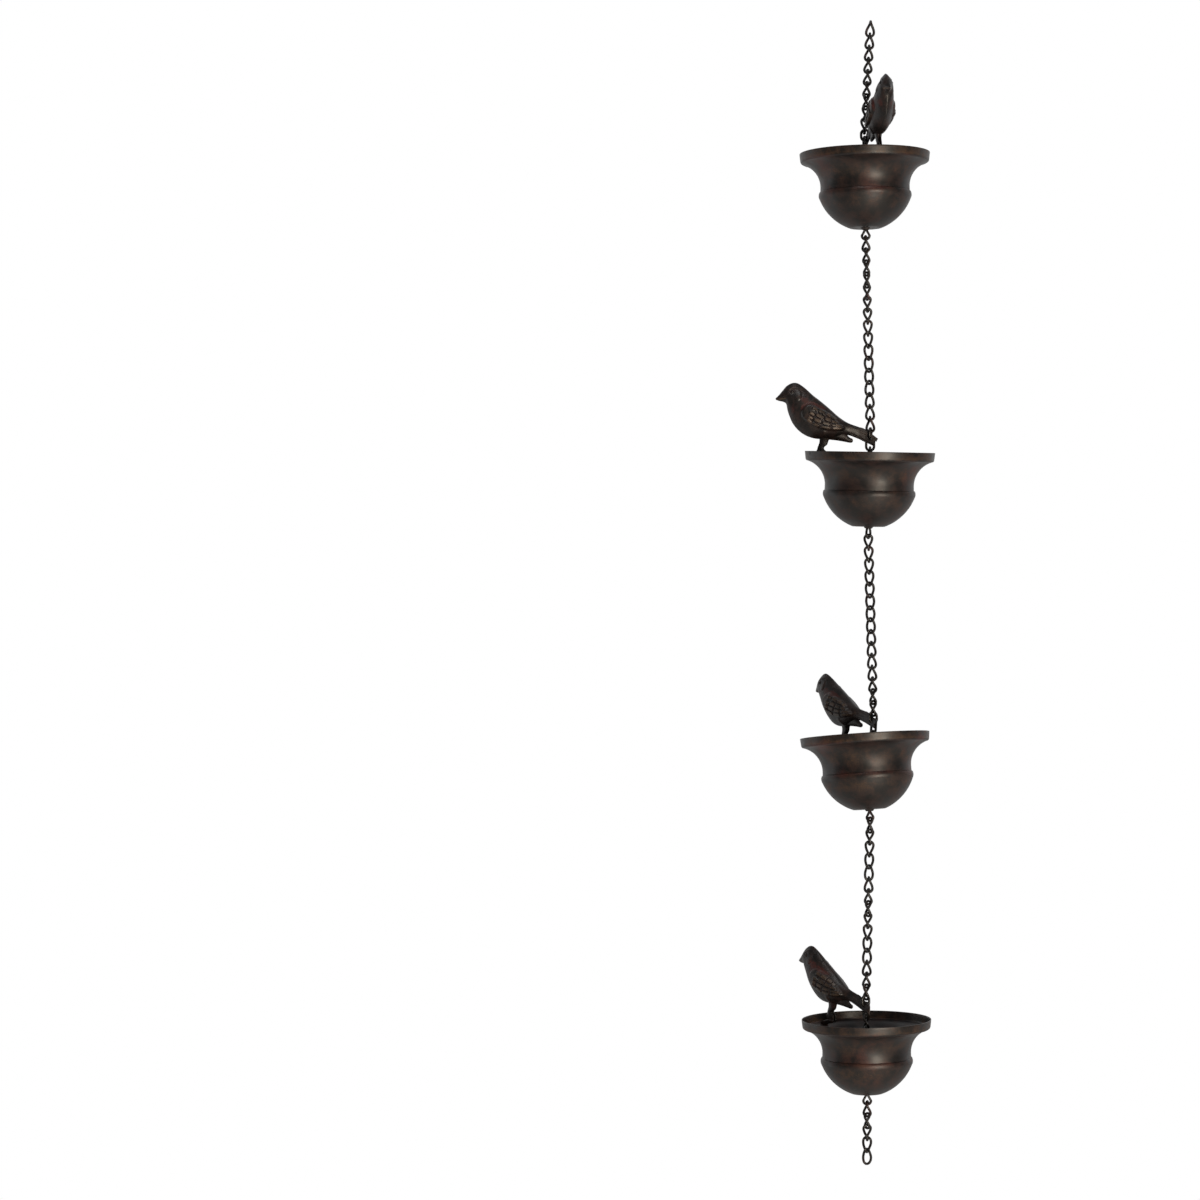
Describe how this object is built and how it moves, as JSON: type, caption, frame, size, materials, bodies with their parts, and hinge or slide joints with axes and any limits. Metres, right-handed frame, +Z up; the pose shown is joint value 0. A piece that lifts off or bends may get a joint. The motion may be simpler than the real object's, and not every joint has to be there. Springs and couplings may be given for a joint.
{
  "type": "rain chain",
  "caption": "Rain chain of twisted links with spun sheet metal cups, each with a sheet metal bird perched on its rim.",
  "frame": {"origin": "inside of the top link's crown, where a hook carries the whole chain", "axes": "+Z up along the chain, front -Y as in the picture, +X to the right; the chain hangs down from the origin"},
  "size_m": [0.1348, 0.1522, 0.9691],
  "materials": {
    "chain_wire": "dark bronze paint, satin, rubbed brown",
    "cup_sheet": "antiqued dark bronze paint, satin, with rubbed gold-brown and red-brown patches",
    "bird_sheet": "antiqued dark bronze paint, satin, rubbed gold-brown on its high points"
  },
  "bodies": {
    "root": {"top_link": "chain_wire", "chain_top": "chain_wire", "chain_1_2": "chain_wire", "chain_2_3": "chain_wire", "chain_3_4": "chain_wire", "chain_bottom": "chain_wire", "bottom_link": "chain_wire", "tail_link_1": "chain_wire", "tail_link_2": "chain_wire", "tail_link_3": "chain_wire", "tail_link_4": "chain_wire", "chain_in_cup_1": "chain_wire", "chain_in_cup_2": "chain_wire", "chain_in_cup_3": "chain_wire", "chain_in_cup_4": "chain_wire", "neck_link_1": "chain_wire", "neck_link_2": "chain_wire", "neck_link_3": "chain_wire", "neck_link_4": "chain_wire", "cup_1": "cup_sheet", "cup_2": "cup_sheet", "cup_3": "cup_sheet", "cup_4": "cup_sheet", "bird_1_left_half": "bird_sheet", "bird_1_right_half": "bird_sheet", "bird_2_left_half": "bird_sheet", "bird_2_right_half": "bird_sheet", "bird_3_left_half": "bird_sheet", "bird_3_right_half": "bird_sheet", "bird_4_left_half": "bird_sheet", "bird_4_right_half": "bird_sheet"}
  },
  "joints": []
}
